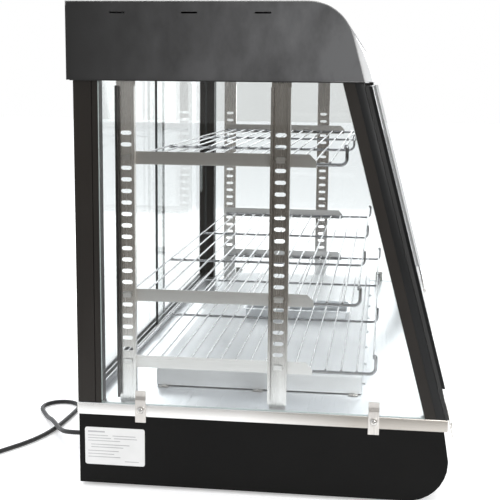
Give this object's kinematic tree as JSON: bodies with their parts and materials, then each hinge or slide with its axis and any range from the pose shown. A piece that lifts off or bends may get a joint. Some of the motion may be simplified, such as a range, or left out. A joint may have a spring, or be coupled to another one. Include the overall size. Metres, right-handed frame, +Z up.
{
  "type": "heated bakery display case",
  "caption": "Countertop heated pastry case: glass walls with a sloped front, wire shelves on slotted uprights, and sliding doors at the back.",
  "frame": {"origin": "on the table under the middle of the case, at the bottom of its feet", "axes": "+Z up, +X along the case's width with the pictured side at -X, -Y toward the customer's sloped front"},
  "size_m": [0.9, 0.7432, 0.61],
  "materials": {
    "black_enamel": "satin black enamel on sheet steel",
    "brushed_steel": "brushed stainless steel",
    "chromed_wire": "bright chrome plating",
    "clear_glass": "clear tempered glass",
    "opal_acrylic": "blank translucent white sign panel",
    "black_rubber": "matte black rubber or flexible PVC",
    "black_plastic": "black moulded plastic",
    "anodised_track": "grey anodised extrusion",
    "lamp_tube": "frosted white lamp tube"
  },
  "bodies": {
    "case": {"base_bottom_plate": "black_enamel", "base_front_fascia": "black_enamel", "base_rear_panel": "black_enamel", "base_side_left": "black_enamel", "base_side_right": "black_enamel", "rear_post_left": "black_enamel", "rear_post_right": "black_enamel", "front_bar_left": "black_enamel", "front_bar_right": "black_enamel", "glass_edge_strip_left": "black_enamel", "glass_edge_strip_right": "black_enamel", "top_cover": "black_enamel", "top_side_left": "black_enamel", "top_side_right": "black_enamel", "deck_tray": "brushed_steel", "heater_cover": "brushed_steel", "heating_element": "brushed_steel", "water_pan": "brushed_steel", "ceiling_plate": "brushed_steel", "front_clip_left": "brushed_steel", "front_clip_right": "brushed_steel", "side_clip_front_left": "brushed_steel", "side_clip_front_right": "brushed_steel", "side_clip_rear_left": "brushed_steel", "side_clip_rear_right": "brushed_steel", "upright_front_left": "brushed_steel", "upright_front_right": "brushed_steel", "upright_rear_left": "brushed_steel", "upright_rear_right": "brushed_steel", "rail_bottom_left": "brushed_steel", "rail_bottom_right": "brushed_steel", "rail_middle_left": "brushed_steel", "rail_middle_right": "brushed_steel", "rail_top_left": "brushed_steel", "rail_top_right": "brushed_steel", "front_glass": "clear_glass", "side_glass_left": "clear_glass", "side_glass_right": "clear_glass", "foot_front_left": "black_rubber", "foot_front_right": "black_rubber", "foot_rear_left": "black_rubber", "foot_rear_right": "black_rubber", "cord_gland": "black_rubber", "cord_run": "black_rubber", "cord_coil": "black_rubber", "cord_tail": "black_rubber", "thermometer": "black_plastic", "plug": "black_plastic", "header_panel": "opal_acrylic", "header_lamp": "lamp_tube", "door_track_bottom": "anodised_track", "door_track_top": "anodised_track"},
    "door_left": {"door_left": "clear_glass"},
    "door_right": {"door_right": "clear_glass"},
    "shelf_top": {"shelf_top": "chromed_wire"},
    "shelf_middle": {"shelf_middle": "chromed_wire"},
    "shelf_bottom": {"shelf_bottom": "chromed_wire"},
    "thermostat_knob": {"thermostat_knob": "black_plastic"},
    "power_switch": {"power_switch": "black_plastic"},
    "light_switch": {"light_switch": "black_plastic"}
  },
  "joints": [
    {"name": "door_left_slide", "type": "slide", "parent": "case", "child": "door_left", "axis": [1, 0, 0], "range_m": [0, 0.376]},
    {"name": "door_right_slide", "type": "slide", "parent": "case", "child": "door_right", "axis": [1, 0, 0], "range_m": [-0.376, 0]},
    {"name": "shelf_top_lift", "type": "slide", "parent": "case", "child": "shelf_top", "axis": [0, 0, 1], "range_m": [0, 0.02]},
    {"name": "shelf_middle_lift", "type": "slide", "parent": "case", "child": "shelf_middle", "axis": [0, 0, 1], "range_m": [0, 0.02]},
    {"name": "shelf_bottom_lift", "type": "slide", "parent": "case", "child": "shelf_bottom", "axis": [0, 0, 1], "range_m": [0, 0.02]},
    {"name": "thermostat_turn", "type": "hinge", "parent": "case", "child": "thermostat_knob", "pos_m": [0.25, 0.2296, 0.054], "axis": [0, -1, 0], "range_deg": [0, 270]},
    {"name": "power_rocker", "type": "hinge", "parent": "case", "child": "power_switch", "pos_m": [0.19, 0.2293, 0.054], "axis": [-1, 0, 0], "range_deg": [0, 16]},
    {"name": "light_rocker", "type": "hinge", "parent": "case", "child": "light_switch", "pos_m": [0.155, 0.2293, 0.054], "axis": [-1, 0, 0], "range_deg": [0, 16]}
  ]
}
